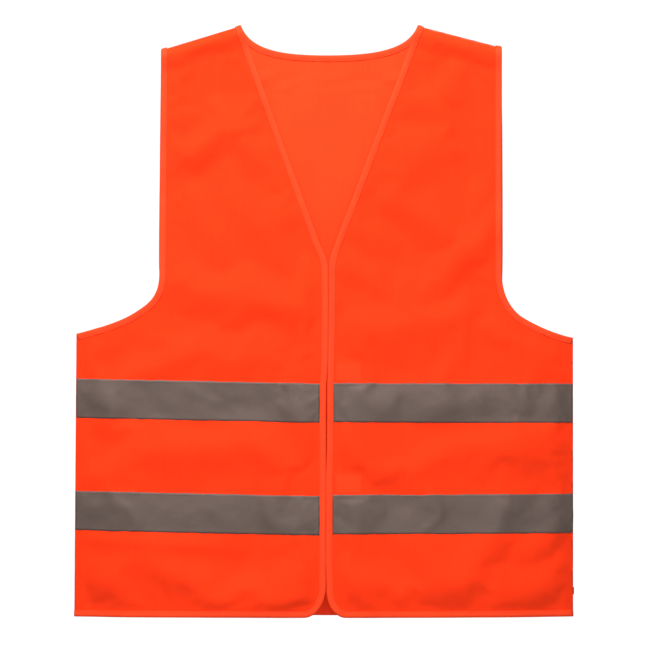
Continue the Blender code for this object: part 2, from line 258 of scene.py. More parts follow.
def settle(cloth, held, outwards):
    """Lets the slack in a panel buckle softly by simulation. held(x, z) is 1 where it is sewn down.

    Outwards is the sign of Y on the panel's own side of the vest, and the panel stays on it.
    """
    rest = [vert.co.copy() for vert in cloth.data.vertices]
    group = cloth.vertex_groups.new(name="sewn")
    for index, co in enumerate(rest):
        group.add([index], held(co.x, co.z), "REPLACE")
    modifier = cloth.modifiers.new("settle", "CLOTH")
    settings = modifier.settings
    settings.quality = 6
    settings.mass = 0.1
    settings.air_damping = 4
    settings.tension_stiffness = settings.compression_stiffness = 20
    settings.shear_stiffness = 8
    settings.bending_stiffness = 1.2
    settings.shrink_min = -SLACK
    settings.vertex_group_mass = group.name
    settings.effector_weights.gravity = 0
    modifier.point_cache.frame_end = SETTLE_FRAMES
    for number in range(1, SETTLE_FRAMES + 1):
        bpy.context.scene.frame_set(number)
    graph = bpy.context.evaluated_depsgraph_get()
    settled = [vert.co.copy() for vert in cloth.evaluated_get(graph).data.vertices]
    cloth.modifiers.remove(modifier)
    cloth.vertex_groups.remove(group)
    bpy.context.scene.frame_set(1)
    for vert, start, end in zip(cloth.data.vertices, rest, settled):
        move = end - start
        vert.co = start + move * min(1.0, SETTLE_MOST / max(move.length, 1e-9))
        vert.co.y = outwards * max(outwards * vert.co.y, LEAST_LAYER * layer(start.x, start.z))
    cloth.data.update()


def surface_of(cloth, flat):
    """Finds where an (x, z) of the flat pattern lies on the finished cloth, and which way it faces."""
    cloth.data.calc_loop_triangles()
    triangles = [tuple(triangle.vertices) for triangle in cloth.data.loop_triangles]
    tree = BVHTree.FromPolygons(flat, triangles)
    places = [vert.co.copy() for vert in cloth.data.vertices]
    normals = [vert.normal.copy() for vert in cloth.data.vertices]

    def at(x, z):
        point = Vector((x, 0.0, z))
        nearest, _, index, _ = tree.find_nearest(point)
        corners = triangles[index]
        source = [flat[corner] for corner in corners]
        place = barycentric_transform(nearest, *source, *[places[corner] for corner in corners])
        normal = barycentric_transform(nearest, *source, *[normals[corner] for corner in corners])
        return place + (point - nearest), normal.normalized()

    return at


def thicken(made, thickness, rounds=0, inner=0):
    """Gives a sheet its thickness, after as many rounds of smoothing subdivision."""
    if rounds:
        smooth = made.modifiers.new("smooth", "SUBSURF")
        smooth.levels = smooth.render_levels = rounds
    wall = made.modifiers.new("thickness", "SOLIDIFY")
    wall.thickness, wall.offset = thickness, 0.0
    wall.material_offset = inner


# A painted glow for the fluorescent cloths: an even emission in their own colour that lifts their shade.
PAINTED_GLOW = 0.10
WALE = 0.0012  # from one upright rib of the knit to the next
COURSE = 0.0010  # from one row of its loops to the next
WAVE_SCALE = math.pi / 10  # a wave texture of this scale repeats once a metre
BACKED_FADE = 0.0010  # how softly the knit turns lighter at the border of what is sewn behind it
BACKED_SHARE = 0.5  # how much of ORANGE_BACKED shows over it


def new_material(name, colour, roughness, sheen=0.0, metallic=0.0, shine=0.06, glow=0.0):
    """A Principled material, its shader and a function that adds a node to it.

    Glow is a painted glow in the material's own colour, given off whether it is lit or not. It stands
    for the light that a fluorescent dye gives back, and it also lifts the shade evenly.
    """
    made = bpy.data.materials.new(name)
    made.use_nodes = True
    tree = made.node_tree
    shader = tree.nodes["Principled BSDF"]
    shader.inputs["Base Color"].default_value = (*colour, 1.0)
    shader.inputs["Roughness"].default_value = roughness
    shader.inputs["Metallic"].default_value = metallic
    shader.inputs["Sheen Weight"].default_value = sheen
    shader.inputs["Sheen Roughness"].default_value = 0.5
    shader.inputs["Specular IOR Level"].default_value = shine
    shader.inputs["Emission Color"].default_value = (*colour, 1.0)
    shader.inputs["Emission Strength"].default_value = glow

    def add(kind, links=(), **values):
        node = tree.nodes.new(f"ShaderNode{kind}")
        for key, value in values.items():
            if key in node.inputs:
                node.inputs[key].default_value = value
            else:
                setattr(node, key, value)
        for socket, source in dict(links).items():
            tree.links.new(source, node.inputs[socket])
        return node

    return made, shader, add, tree.links


def tinted(add, links, shader, colour, mask, share):
    """Lets a mask from 0 to 1 make the colour darker and lighter by this share."""
    darker = tuple(min(1.0, part * (1 - share)) for part in colour)
    lighter = tuple(min(1.0, part * (1 + share)) for part in colour)
    mix = add("Mix", data_type="RGBA")
    mix.inputs[6].default_value = (*darker, 1.0)
    mix.inputs[7].default_value = (*lighter, 1.0)
    links.new(mask, mix.inputs[0])
    links.new(mix.outputs[2], shader.inputs["Base Color"])


def raised(add, links, shader, height, strength, distance):
    """Lets a height from 0 to 1 stand up by this distance, as a bump of this strength."""
    bump = add("Bump", {"Height": height}, Strength=strength, Distance=distance)
    links.new(bump.outputs["Normal"], shader.inputs["Normal"])


def stretched(add, value, **ends):
    """A value passed from one range into another. The ends left out are 0 and 1."""
    named = {end.replace("_", " "): number for end, number in ends.items()}
    return add("MapRange", {"Value": value}, **named).outputs["Result"]


def knit(name, colour, backed=()):
    """Fluorescent warp knit: upright ribs crossed by rows of loops, and faint upright streaks.

    It shows lighter over the backed boxes, each (middle, half size), where something is sewn behind.
    """
    made, shader, add, links = new_material(name, colour, 0.78, sheen=0.02, glow=PAINTED_GLOW)
    where = add("TexCoord").outputs["Object"]
    ribs = add("TexWave", {"Vector": where}, Scale=WAVE_SCALE / WALE, Distortion=0.0)
    rows = add(
        "TexWave", {"Vector": where}, bands_direction="Z", Scale=WAVE_SCALE / COURSE, Distortion=0.0,
    )
    loops = add("Math", {0: ribs.outputs["Fac"], 1: rows.outputs["Fac"]}, operation="MULTIPLY")
    drawn = add("Mapping", {"Vector": where})
    drawn.inputs["Scale"].default_value = (330.0, 330.0, 9.0)
    streaks = add("TexNoise", {"Vector": drawn.outputs["Vector"]}, Scale=1.0, Detail=3.0)
    clouds = add("TexNoise", {"Vector": where}, Scale=26.0, Detail=4.0)
    both = add("Math", {0: streaks.outputs["Fac"], 1: clouds.outputs["Fac"]}, operation="ADD")
    mask = stretched(add, both.outputs["Value"], From_Min=0.6, From_Max=1.4)
    tinted(add, links, shader, colour, mask, 0.08)
    for middle, half in backed:
        away = add("VectorMath", {0: where}, operation="SUBTRACT")
        away.inputs[1].default_value = middle
        size = add("VectorMath", {0: away.outputs["Vector"]}, operation="ABSOLUTE")
        inside = add("VectorMath", {1: size.outputs["Vector"]}, operation="SUBTRACT")
        inside.inputs[0].default_value = half
        reach = add("SeparateXYZ", {"Vector": inside.outputs["Vector"]})
        least = add("Math", {0: reach.outputs["X"], 1: reach.outputs["Z"]}, operation="MINIMUM")
        over = stretched(add, least.outputs["Value"], From_Max=BACKED_FADE, To_Max=BACKED_SHARE)
        colour_so_far = shader.inputs["Base Color"].links[0].from_socket
        mix = add("Mix", {0: over, 6: colour_so_far}, data_type="RGBA")
        mix.inputs[7].default_value = (*ORANGE_BACKED, 1.0)
        links.new(mix.outputs[2], shader.inputs["Base Color"])
    fine = add("Bump", {"Height": loops.outputs["Value"]}, Strength=0.35, Distance=0.00018)
    soft = add(
        "Bump", {"Height": streaks.outputs["Fac"], "Normal": fine.outputs["Normal"]},
        Strength=0.25, Distance=0.0004,
    )
    links.new(soft.outputs["Normal"], shader.inputs["Normal"])
    return made


ORANGE = (1.0, 0.0390, 0.0056)
# The knit's inside face is painted lighter, standing in for light that shines through the thin cloth.
ORANGE_INSIDE_PAINTED_LIGHT = (1.0, 0.055, 0.0112)
ORANGE_BACKED = (1.0, 0.0620, 0.0142)
OUTER_KNIT = knit("orange_knit", ORANGE)
INNER_KNIT_PAINTED_LIGHT = knit("orange_knit_inside_painted_light", ORANGE_INSIDE_PAINTED_LIGHT)

right, left = SIDES["right"], SIDES["left"]
neck_edge = signed(right, neckline(right)) + signed(left, neckline(left))[-2::-1]
hem_edge = [(left["hem"], -LENGTH), (-right["hem"], -LENGTH)]
back_outline = inset(neck_edge, HIDDEN_EDGE) + inset(signed(left, armhole(left)), HIDDEN_EDGE)
back_outline += inset(hem_edge, HIDDEN_EDGE)
back_outline += inset(signed(right, armhole(right))[::-1], HIDDEN_EDGE)

BACK_SWELLS = (  # middle, reach along and across, turn in degrees, height
    ((-0.150, -0.170), (0.050, 0.018), 60, 0.0030), ((0.150, -0.240), (0.060, 0.020), -55, 0.0032),
    ((-0.150, -0.370), (0.080, 0.025), 35, -0.0038), ((0.030, -0.430), (0.090, 0.022), 10, 0.0034),
    ((0.200, -0.540), (0.070, 0.022), -15, 0.0040), ((-0.190, -0.545), (0.080, 0.018), 8, 0.0042),
    ((-0.060, -0.690), (0.024, 0.060), 6, 0.0045), ((0.110, -0.700), (0.022, 0.050), -8, -0.0045),
    ((0.020, -0.545), (0.060, 0.020), -6, -0.0034), ((-0.220, -0.700), (0.024, 0.050), 0, -0.0040),
)
HEM_WAVE = 0.0025  # how far the hem waves in and out
BACK_RIPPLE = 0.0012
BACK_FREE = 0.05  # how far from a seam the back's folds reach their full height
COLLAR_CALM = 0.85  # how much of its folds the back loses in the V
COLLAR_HOLD = 0.5  # how firmly it is held there while it settles
BACK_HOLD = (0.035, 0.026)  # from an edge in to where its hold ends, and the width it fades over


def hem_wave(x, z, seed):
    """Long waves that grow towards the hem."""
    return HEM_WAVE * eased((-z / LENGTH - 0.55) / 0.45) * ripple(x, 0.0, 0.075, seed) * 2


def under_collar(x, z):
    """1 in the middle of the part of the back that shows in the V, and 0 well away from it."""
    return swell(x, z, (0.0, -0.13), (0.07, 0.10), 0, 1.0)


def back_place(x, z):
    """The Y of the back's cloth, whose folds die away at its seams and in the V."""
    free = eased(seam_distance(x, z) / BACK_FREE) * (1 - COLLAR_CALM * under_collar(x, z))
    relief = sum(swell(x, z, *values) for values in BACK_SWELLS)
    relief += BACK_RIPPLE * ripple(x, z, 0.05, 3.7) + hem_wave(x, z, 1.3)
    return layer(x, z) + max(0.0, depth(x, z, front=False) + relief * free)


def back_held(x, z):
    """1 along the back's bound and sewn edges, and up to a half where it shows in the V."""
    edge = min(seam_distance(x, z), z + LENGTH, -NECK_LOW - z)
    reach, fade = BACK_HOLD
    return max(eased((reach - edge) / fade), COLLAR_HOLD * under_collar(x, z))


shape = cut_cloth(back_outline, BACK_MESH, Vector((0.0, 0.0, -1.0)), Vector((0.0, 0.0, 0.0)))
cut_areas = {"back": sum(face.calc_area() for face in shape.faces)}
face_towards(shape, Vector((0.0, 1.0, 0.0)))
flat = [vert.co.copy() for vert in shape.verts]
for vert in shape.verts:
    vert.co.y = back_place(vert.co.x, vert.co.z)
back_cloth = piece("back_cloth", shape, OUTER_KNIT, INNER_KNIT_PAINTED_LIGHT)
settle(back_cloth, back_held, 1)
back_surface = surface_of(back_cloth, flat)
thicken(back_cloth, CLOTH, inner=1)
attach(back_cloth, "vest_body")
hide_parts("back_panel")

# The fronts. Each is one panel of the same knit, from the side seam to the front edge, with its half
# of the V. It is whole over the line from the neck point to the hem where it folds open.

V_BOTTOM = 0.312  # neck point down to where the front edges come together
CENTRE_LINE = (  # down from the neck points, middle of the slit between the fronts, and its width
    (0.312, 0.0014, 0.0010), (0.350, 0.0015, 0.0006), (0.400, 0.0010, 0.0004), (0.440, 0.0002, 0.0006),
    (0.460, -0.0010, 0.0015), (0.500, -0.0012, 0.0018), (0.540, -0.0013, 0.0014), (0.575, -0.0018, 0.0005),
    (0.690, -0.0020, 0.0005), (0.7157, -0.0016, 0.0012),
)
FRONT_MESH = 0.005
PATCH = (0.033, 0.025, 0.0006)  # loop patch: along X, along Z, thick
PATCH_START = 0.0105  # from the middle of the vest
SHOULDER_ROLL = 0.0052  # how far the turned-in seam pushes the front out below the shoulder
ROLL_RISE, ROLL_FALL = 0.005, 0.026  # how far down it rises, and then goes back
FRONT_RIPPLE = 0.0010
FRONT_FREE = 0.03  # how far from a seam the front's folds reach their full height
TAPE_HOLD = 0.12  # how firmly the tapes' stitches hold the front while it settles
TAPE_HELD = 0.0035  # how far from a row of them
EDGE_HELD = 0.011  # how far in from its edges and seams a front is held while it settles
PATCH_HELD = 0.003  # how far out from its patches
ARMHOLE_HELD = 0.012  # how far in from the shoulder tip, beside the armhole
V_HELD = 0.297  # from the neck points down to where the hold along the V reaches the middle
PATCH_RISE = 0.0012  # from the tape's top edge up to the patch


def edge_at(side, down):
    """How far one front's edge is from the middle, this far below the neck points."""
    for (top, *above), (bottom, *below) in zip(CENTRE_LINE, CENTRE_LINE[1:]):
        if down <= bottom:
            break
    middle, width = Vector(above).lerp(Vector(below), min(max((down - top) / (bottom - top), 0.0), 1.0))
    return width / 2 + side["sign"] * middle


def front_edge(side):
    """From the neck point down the V, the front edge and the round corner to the hem."""
    bottom, turn = -LENGTH, (0.0120, -0.2730)
    across, up = side["corner"]
    top = edge_at(side, V_BOTTOM)
    points = [(side["neck"], 0.0)]
    points += round_stretch(turn, ((0.0060, -0.2895), (top, -0.2980)), (top, -V_BOTTOM), 8)
    points += [(edge_at(side, down), -down) for down, *_ in CENTRE_LINE if down < LENGTH - up - 0.005]
    low = edge_at(side, LENGTH - up)
    pulls = ((low, bottom + up * 0.45), (across * 0.45, bottom))
    points += round_stretch((low, bottom + up), pulls, (across, bottom))
    return [*points, (across, bottom)]


FRONT_SWELLS = {
    "right": (
        ((-0.156, -0.150), (0.045, 0.013), 40, 0.0042), ((-0.172, -0.192), (0.036, 0.014), 20, -0.0030),
        ((-0.120, -0.345), (0.080, 0.017), -10, 0.0046), ((-0.014, -0.322), (0.016, 0.014), 0, 0.0022),
        ((-0.110, -0.425), (0.040, 0.018), 8, 0.0036), ((-0.190, -0.425), (0.032, 0.012), 24, 0.0022),
        ((-0.040, -0.447), (0.034, 0.010), 10, 0.0024), ((-0.022, -0.522), (0.014, 0.026), 24, 0.0036),
        ((-0.178, -0.543), (0.058, 0.017), 0, 0.0056), ((-0.075, -0.548), (0.034, 0.012), -34, 0.0034),
        ((-0.270, -0.540), (0.030, 0.016), 14, -0.0026), ((-0.205, -0.661), (0.070, 0.007), -3, 0.0018),
        ((-0.288, -0.710), (0.026, 0.015), -32, 0.0040), ((-0.182, -0.708), (0.044, 0.015), -28, 0.0050),
        ((-0.062, -0.715), (0.050, 0.018), 14, 0.0042), ((-0.110, -0.690), (0.030, 0.012), 40, -0.0020),
        ((-0.190, -0.060), (0.014, 0.034), -8, 0.0022), ((-0.090, -0.255), (0.052, 0.014), 24, 0.0018),
        ((-0.048, -0.733), (0.030, 0.008), 12, 0.0030),
    ),
    "left": (
        ((0.190, -0.280), (0.050, 0.014), 44, 0.0040), ((0.180, -0.030), (0.050, 0.012), -10, 0.0030),
        ((0.128, -0.096), (0.034, 0.020), 10, 0.0022), ((0.110, -0.168), (0.026, 0.020), 60, 0.0030),
        ((0.120, -0.246), (0.034, 0.014), -34, 0.0028), ((0.024, -0.312), (0.020, 0.012), -20, 0.0024),
        ((0.085, -0.392), (0.050, 0.018), 12, 0.0026), ((0.250, -0.404), (0.034, 0.012), -24, 0.0024),
        ((0.036, -0.544), (0.024, 0.014), -40, 0.0034), ((0.110, -0.562), (0.060, 0.012), 14, 0.0009),
        ((0.250, -0.540), (0.050, 0.018), -6, 0.0036), ((0.120, -0.672), (0.030, 0.015), -58, 0.0036),
        ((0.196, -0.676), (0.044, 0.016), 58, 0.0042), ((0.160, -0.712), (0.040, 0.018), 4, 0.0040),
        ((0.290, -0.648), (0.024, 0.012), 30, 0.0028), ((0.272, -0.718), (0.036, 0.016), 20, 0.0036),
        ((0.052, -0.712), (0.034, 0.016), -30, 0.0038), ((0.150, -0.480), (0.070, 0.016), 4, 0.0020),
        ((0.032, -0.716), (0.026, 0.009), -52, 0.0034),
    ),
}


def patch_box(level):
    """The (x, z) of a loop patch's lower and upper corners."""
    top = PATCH_RISE + PATCH[1] - left[f"{level}_tape"][0]
    return (PATCH_START, top - PATCH[1]), (PATCH_START + PATCH[0], top)


def outside_box(x, z, low, high):
    """How far (x, z) is outside an upright rectangle, 0 inside it."""
    return math.hypot(max(low[0] - x, x - high[0], 0.0), max(low[1] - z, z - high[1], 0.0))


def patch_distance(x, z, start=PATCH_START):
    """From (x, z) to the nearer patch, or to the tab across from it, from this far out."""
    boxes = [patch_box(level) for level in ("upper", "lower")]
    return min(outside_box(abs(x), z, (start, low[1]), high) for low, high in boxes)


def front_place(x, z, swells, seed):
    """The Y of a front's cloth. Its folds die away at its seams, its edge and its closures, and it
    stands up over a patch and just below the shoulder.
    """
    loose = eased(seam_distance(x, z) / FRONT_FREE) * (0.25 + 0.75 * eased((abs(x) - 0.012) / 0.02))
    relief = sum(swell(x, z, *values) for values in swells)
    relief += FRONT_RIPPLE * ripple(x, z, 0.045, seed) + hem_wave(x, z, seed)
    clear = eased(patch_distance(x, z, start=0.0) / 0.012)
    relief = max(relief * loose * (0.4 + 0.6 * clear), -0.0002 - 0.01 * clear)
    relief += PATCH[2] * (x > 0) * (1 - eased(patch_distance(x, z) / 0.004))
    down = shoulder_distance(x, z)
    relief += SHOULDER_ROLL * eased(down / ROLL_RISE) * (1 - eased((down - ROLL_RISE) / ROLL_FALL))
    return -layer(x, z) - max(0.0, depth(x, z, front=True) + relief)


def front_held(x, z):
    """1 along a front's bound and sewn edges and on its patches, less along its tapes' stitches."""
    side = side_at(x)
    v_edge = side["neck"] * (1 + z / V_HELD) if z > -V_HELD else 0.0
    edge = min(seam_distance(x, z), abs(x) - v_edge, z + LENGTH)
    beside_armhole = abs(x) > side["tip"][0] - ARMHOLE_HELD and z > side["underarm"][1]
    if beside_armhole or edge < EDGE_HELD or patch_distance(x, z) < PATCH_HELD:
        return 1.0
    tapes = [-side[f"{level}_tape"][0] - drop for level in ("upper", "lower") for drop in (0.002, 0.048)]
    return TAPE_HOLD if min(abs(z - tape) for tape in tapes) < TAPE_HELD else 0.0


boxes = [patch_box(level) for level in ("upper", "lower")]
backed = [
    (((low[0] + high[0]) / 2, 0.0, (low[1] + high[1]) / 2), (PATCH[0] / 2, 1.0, PATCH[1] / 2))
    for low, high in boxes
]
FRONT_KNITS = {"right": OUTER_KNIT, "left": knit("orange_knit_over_patches", ORANGE, backed)}
front_surfaces = {}
for name, side in SIDES.items():
    neck, hem = signed(side, [(side["neck"], 0.0), (side["fold_hem"], -LENGTH)])
    grain = Vector((hem[0] - neck[0], 0.0, hem[1] - neck[1])).normalized()
    outline = inset([*front_edge(side), (side["hem"], -LENGTH)], -HIDDEN_EDGE)
    outline = signed(side, outline + inset(armhole(side)[::-1], -HIDDEN_EDGE))
    shape = cut_cloth(outline, FRONT_MESH, grain, Vector((neck[0], 0.0, 0.0)))
    cut_areas[name] = sum(face.calc_area() for face in shape.faces)
    face_towards(shape, Vector((0.0, -1.0, 0.0)))
    flat = [vert.co.copy() for vert in shape.verts]
    for vert in shape.verts:
        vert.co.y = front_place(vert.co.x, vert.co.z, FRONT_SWELLS[name], side["sign"] * 5.1)
    cloth = piece(f"{name}_front_cloth", shape, FRONT_KNITS[name], INNER_KNIT_PAINTED_LIGHT)
    settle(cloth, front_held, -1)
    front_surfaces[name] = surface_of(cloth, flat)
    thicken(cloth, CLOTH, rounds=1, inner=1)

    joint = next(j for j in frame["joints"] if j["name"] == f"{name}_front_opens")
    axis = Vector(joint["axis"]).normalized()


def bends(made):
    """Bakes the placement of a piece of one front into its mesh."""
    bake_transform(made)


for name in SIDES:
    cloth = bpy.data.objects[f"{name}_front_cloth"]
    bends(cloth)
    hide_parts(f"{name}_front_panel", f"{name}_side_front_panel")

# The binding. A narrow woven polyester strip folded over every raw edge and sewn down along its
# inner border, a little lighter and smoother than the knit.

BINDING_WIDTH = 0.008
BINDING_WALL = 0.00035
BINDING_STEP = 0.003
STITCH_LINE = 0.0063  # from the edge in to the stitches
BINDING_STITCH_LIFT = 0.00072  # from the middle of the cloth out to the middle of a stitch
FLUTTER = 0.14  # how unevenly the binding stands up, as a share of its thickness
LEAST_LIFT = 0.0001  # how near a binding comes to the plane between front and back
ORANGE_TRIM = (1.0, 0.0595, 0.0150)
STITCH = (0.0024, 0.00042, 0.00030)  # long, wide, high
STITCH_PITCH = 0.0032
BINDING_SECTION = (  # inwards from the edge, and out from the middle of the cloth
    (0.0080, 0.00055), (0.0074, 0.00082), (0.0063, 0.00046), (0.0052, 0.00084), (0.0036, 0.00100),
    (0.0018, 0.00098), (0.0006, 0.00072), (0.0001, 0.00030),
)


def woven(name, colour, rib, roughness=0.7, sheen=0.02):
    """A woven strip with fine ribs across it, read from the strip's own map, in metres."""
    made, shader, add, links = new_material(name, colour, roughness, sheen=sheen, glow=PAINTED_GLOW)
    where = add("UVMap", uv_map="strip").outputs["UV"]
    ribs = add("TexWave", {"Vector": where}, Scale=WAVE_SCALE / rib, Distortion=0.0)
    yarns = add(
        "TexWave", {"Vector": where}, bands_direction="Y", Scale=WAVE_SCALE / rib / 1.3, Distortion=0.0,
    )
    weave = add("Math", {0: ribs.outputs["Fac"], 1: yarns.outputs["Fac"]}, operation="ADD")
    wear = add("TexNoise", {"Vector": add("TexCoord").outputs["Object"]}, Scale=90.0, Detail=4.0)
    tinted(add, links, shader, colour, wear.outputs["Fac"], 0.12)
    raised(add, links, shader, weave.outputs["Value"], 0.4, 0.00012)
    return made


def thread(name, colour, roughness=0.55):
    """Sewing thread: two plies twisted round each other."""
    made, shader, add, links = new_material(name, colour, roughness, sheen=0.03)
    where = add("TexCoord").outputs["Object"]
    turned = add("Mapping", {"Vector": where})
    turned.inputs["Rotation"].default_value = (0.0, math.radians(35), 0.0)
    plies = add("TexWave", {"Vector": turned.outputs["Vector"]}, Scale=WAVE_SCALE / 0.0005, Distortion=1.0)
    tinted(add, links, shader, colour, plies.outputs["Fac"], 0.10)
    raised(add, links, shader, plies.outputs["Fac"], 0.5, 0.0001)
    return made


BINDING_CLOTH = woven("orange_binding", ORANGE_TRIM, 0.0006)
# The orange thread is painted darker than the binding, so that its rows stand for the shade in the stitch
# grooves.
ORANGE_THREAD_PAINTED_SHADE = thread("orange_thread_painted_shade", (0.80, 0.040, 0.011))


def walk(points, step):
    """Evenly spaced (point, direction) along a path, both ends included."""
    corners = [Vector(point) for point in points]
    lengths = [(b - a).length for a, b in zip(corners, corners[1:])]
    total = sum(lengths)
    count = max(2, round(total / step))
    stations = []
    index, passed = 0, 0.0
    for number in range(count + 1):
        target = total * number / count
        while index < len(lengths) - 1 and passed + lengths[index] < target:
            passed += lengths[index]
            index += 1
        a, b = corners[index], corners[index + 1]
        stations.append((a.lerp(b, (target - passed) / lengths[index]), (b - a).normalized()))
    return stations


def softened(stations):
    """The same stations, each with the mean direction of its neighbours."""
    made = []
    for index, (point, _) in enumerate(stations):
        near = stations[max(0, index - 1) : index + 2]
        along = sum((direction for _, direction in near), Vector((0.0, 0.0))).normalized()
        made.append((point, along))
    return made


def formed_grid(along, across, place, cell):
    """A grid with each of its points moved to place(i, j), and its own map in metres."""
    shape = bmesh.new()
    bmesh.ops.create_grid(shape, x_segments=along, y_segments=across, size=1.0)
    strip_map = shape.loops.layers.uv.new("strip")
    numbers = {
        vert: (round((vert.co.x + 1) / 2 * along), round((vert.co.y + 1) / 2 * across))
        for vert in shape.verts
    }
    for face in shape.faces:
        for corner in face.loops:
            i, j = numbers[corner.vert]
            corner[strip_map].uv = (i * cell[0], j * cell[1])
    for vert, (i, j) in numbers.items():
        vert.co = place(i, j)
    return shape


def beside(surface, outwards, point, inwards, reach, lift):
    """The place this far in from an edge and out from the cloth, kept to its own half of the vest."""
    flat_point = point + inwards * reach
    place, normal = surface(*flat_point)
    place = place + normal * lift
    place.y = outwards * max(outwards * place.y, LEAST_LIFT)
    return place


def over_top(front_place, back_place, turn):
    """A place on the round way over a shoulder seam, from the front's at turn 0 to the back's at 1."""
    middle = (front_place + back_place) / 2
    out = front_place - middle
    return middle + out * math.cos(math.pi * turn) + Vector((0, 0, out.length)) * math.sin(math.pi * turn)


def stitches(name, places, thread_finish, size=STITCH):
    """A row of stitches of this long, wide and high. Each place is (middle, along, out)."""
    shape = bmesh.new()
    half = [measure / 2 for measure in size]
    for middle, along, out in places:
        across = out.cross(along).normalized()
        turn = Matrix((along * half[0], across * half[1], out * half[2])).transposed().to_4x4()
        bmesh.ops.create_icosphere(
            shape, subdivisions=1, radius=1.0, matrix=Matrix.Translation(middle) @ turn,
        )
    return piece(name, shape, thread_finish)


def square_to(other, direction):
    """A direction turned as little as makes it square to another."""
    return (direction - other * direction.dot(other)).normalized()


def stitch_places(surface, stations, above, below, inwards=0.0):
    """Where the stitches of a seam lie, above the cloth on its outside and below it on its inside.

    Inwards is how far they are to the left of the stations' direction of travel.
    """
    found = []
    for point, direction in stations:
        spot = point + Vector((-direction.y, direction.x)) * inwards
        place, normal = surface(*spot)
        along = square_to(normal, Vector((direction.x, 0.0, direction.y)))
        found += [(place + normal * above, along, normal), (place - normal * below, along, -normal)]
    return found


def bind(name, runs, seams=()):
    """Folds a strip over the edges of its runs, one after the other.

    A run is (surface, outwards, hand, path): hand is 1 where the cloth is on the left of the path's
    direction of travel and -1 where it is on the right. seams gives, for the end of each run but the
    last, the direction in which its shoulder seam leaves the edge.
    """
    section = [*BINDING_SECTION, *[(reach, -lift) for reach, lift in BINDING_SECTION[::-1]]]
    rows, sewn = [], []
    for number, (surface, outwards, hand, path) in enumerate(runs):
        stations = softened(walk(path, BINDING_STEP))
        sewn += stitch_places(
            surface, walk(path, STITCH_PITCH)[1:-1], BINDING_STITCH_LIFT, BINDING_STITCH_LIFT,
            inwards=hand * STITCH_LINE,
        )
        for index, (point, direction) in enumerate(stations):
            inwards = Vector((-direction.y, direction.x)) * hand
            for seam, steps in ((number - 1, index), (number, len(stations) - 1 - index)):
                if 0 <= seam < len(seams):
                    share = 1 - eased(steps * BINDING_STEP / BINDING_WIDTH)
                    inwards = inwards.lerp(seams[seam], share).normalized()
            flutter = 1 + FLUTTER * ripple(point.x + outwards, point.y, 0.011, 2.2)
            rows.append([
                beside(surface, outwards, point, inwards, reach, lift * flutter) for reach, lift in section
            ])
        if number < len(seams):
            surface, outwards, _, path = runs[number + 1]
            start = Vector(path[0])
            far = [beside(surface, outwards, start, seams[number], *cell) for cell in section]
            near = rows[-1]
            rows += [[over_top(a, b, turn) for a, b in zip(near, far)] for turn in OVER_TURNS]
    cell = (BINDING_STEP, 2 * BINDING_WIDTH / (len(section) - 1))
    shape = formed_grid(len(rows) - 1, len(section) - 1, lambda i, j: rows[i][j], cell)
    strip = piece(name, shape, BINDING_CLOTH)
    thicken(strip, BINDING_WALL)
    row = stitches(f"{name}_stitches", sewn, ORANGE_THREAD_PAINTED_SHADE)
    return strip, row


OVER_TURNS = (0.17, 0.33, 0.5, 0.67, 0.83)  # the stations on the round way over a shoulder seam
STUB = 0.005  # how far the neck binding comes down the top of each front

neck_runs, neck_seams = [(back_surface, 1, -1, neck_edge)], []
for name, side in SIDES.items():
    surface, sign = front_surfaces[name], side["sign"]
    top, *rest = [Vector(point) for point in signed(side, front_edge(side))]
    joint_point = top + (rest[0] - top).normalized() * STUB
    path = [joint_point, *rest, Vector((sign * side["hem"], -LENGTH))]
    strip, row = bind(f"{name}_front_edge_binding", [(surface, -1, sign, path)])
    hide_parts(f"{name}_front_binding", f"{name}_side_hem_binding")
    for made in (strip, row):
        bends(made)

    hole = signed(side, armhole(side))
    shoulder = (Vector(hole[0]) - top).normalized()
    runs = [(surface, -1, sign, hole[::-1]), (back_surface, 1, -sign, hole)]
    strip, row = bind(f"{name}_armhole_strip", runs, [-shoulder])
    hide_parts(f"{name}_armhole_binding")
    for made in (strip, row):
        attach(made, "vest_body")
    if sign < 0:
        neck_runs.insert(0, (surface, -1, 1, [joint_point, top]))
    else:
        neck_runs.append((surface, -1, 1, [top, joint_point]))
    neck_seams.append(shoulder)

strip, row = bind("back_neck_strip", neck_runs, neck_seams)
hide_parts("neck_binding")
hem_strip, hem_row = bind("back_hem_strip", [(back_surface, 1, -1, hem_edge)])
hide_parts("back_hem_binding")
for made in (strip, row, hem_strip, hem_row):
    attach(made, "vest_body")

# The reflective tape. Two bands round the chest, of cloth coated with fine glass beads, each sewn
# on along its two borders. It is stiffer than the knit, so it creases in soft facets.

TAPE_WIDTH = 0.050
TAPE_STEP = 0.0025
TAPE_WALL = 0.00025
TAPE_LIFT = 0.00052
TAPE_CREASE = 0.0021  # how far the tape's facets stand up between its rows of stitches
TAPE_GAP = 0.0002  # from the front edge's binding to the end of the tape
TAPE_STITCHES = 0.0022  # from the border in to the stitches
TAPE_STITCH_RISE = 0.00022  # from the middle of the tape out to the middle of a stitch
INSIDE_STITCH_DROP = 0.0004  # from the middle of the cloth in to the middle of a stitch
FLAT_BORDER = 0.03  # the share of its width that stays flat along each border
BORDER_WAVE = 0.0005  # how far the tape's borders wander
SIDE_ROOM = 0.0006  # from the side seam to what ends beside it
LEAST_CREASE = 0.05  # the flattest part of a crease, as a share of TAPE_CREASE
# The tape's grey is tinted warm by a painted reflection of the orange cloth round it.
TAPE_GREY_WITH_PAINTED_REFLECTION = (0.124, 0.088, 0.074)


